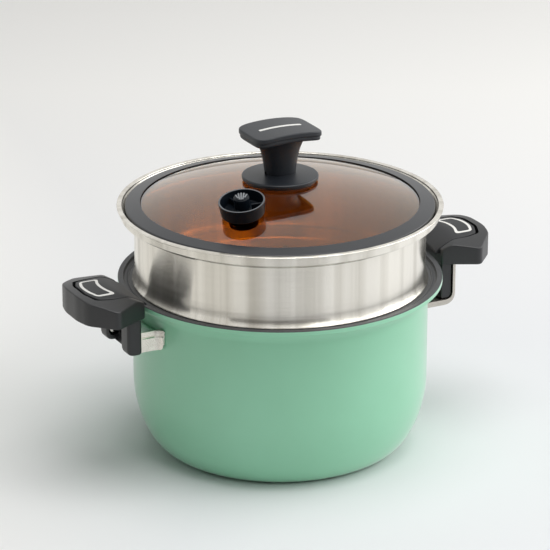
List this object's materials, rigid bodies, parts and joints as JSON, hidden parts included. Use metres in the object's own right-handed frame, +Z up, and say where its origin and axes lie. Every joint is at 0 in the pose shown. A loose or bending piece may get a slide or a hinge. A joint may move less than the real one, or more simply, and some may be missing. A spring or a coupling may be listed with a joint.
{
  "type": "stovetop pressure cooker",
  "caption": "Round stovetop cooker with a lifting steel steamer, a domed glass lid with knob and steam valve, and side handles with sliding lock tongues.",
  "frame": {"origin": "centre of the underside of the base plate, on the pot axis", "axes": "+Z up along the pot axis, +X towards the right handle, +Y to the back"},
  "size_m": [0.366, 0.261, 0.2663],
  "materials": {
    "mint_coat": "cast aluminium with a satin mint-green coat outside and a dark grey non-stick coat inside and on the lip",
    "plate_steel": "turned steel plate",
    "steel": "brushed stainless steel",
    "amber_glass": "clear amber-tinted tempered glass",
    "silicone": "matt grey silicone",
    "knob_plastic": "fine matt black plastic with one white line on the cap",
    "valve_plastic": "satin black plastic",
    "handle_plastic": "fine matt black plastic",
    "tongue_plastic": "fine matt black plastic with a plain white outline on top"
  },
  "bodies": {
    "pot": {"pot_body": "mint_coat", "base_plate": "plate_steel", "left_bracket": "steel", "left_rivet_1": "steel", "left_rivet_2": "steel", "left_handle": "handle_plastic", "left_screw_1": "steel", "left_screw_2": "steel", "right_bracket": "steel", "right_rivet_1": "steel", "right_rivet_2": "steel", "right_handle": "handle_plastic", "right_screw_1": "steel", "right_screw_2": "steel"},
    "steamer": {"steamer": "steel"},
    "lid": {"lid_glass": "amber_glass", "lid_seal": "silicone", "knob_gasket": "silicone", "knob_base": "knob_plastic", "knob_cap": "knob_plastic", "knob_grip": "knob_plastic", "knob_washer": "steel", "knob_screw": "steel", "valve_gasket": "silicone", "valve_cup": "valve_plastic", "valve_nut": "valve_plastic"},
    "valve_weight": {"valve_weight": "valve_plastic"},
    "left_tongue": {"left_tongue": "tongue_plastic", "left_guide_screw": "steel"},
    "right_tongue": {"right_tongue": "tongue_plastic", "right_guide_screw": "steel"}
  },
  "joints": [
    {"name": "steamer_lift", "type": "slide", "parent": "pot", "child": "steamer", "axis": [0, 0, 1], "range_m": [0, 0.06]},
    {"name": "lid_lift", "type": "slide", "parent": "steamer", "child": "lid", "axis": [0, 0, 1], "range_m": [0, 0.06]},
    {"name": "valve_lift", "type": "slide", "parent": "lid", "child": "valve_weight", "axis": [-0.1675, -0.1386, 0.9761], "range_m": [0, 0.003]},
    {"name": "left_tongue_slide", "type": "slide", "parent": "pot", "child": "left_tongue", "axis": [1, 0, 0], "range_m": [0, 0.008]},
    {"name": "right_tongue_slide", "type": "slide", "parent": "pot", "child": "right_tongue", "axis": [-1, 0, 0], "range_m": [0, 0.008]}
  ]
}
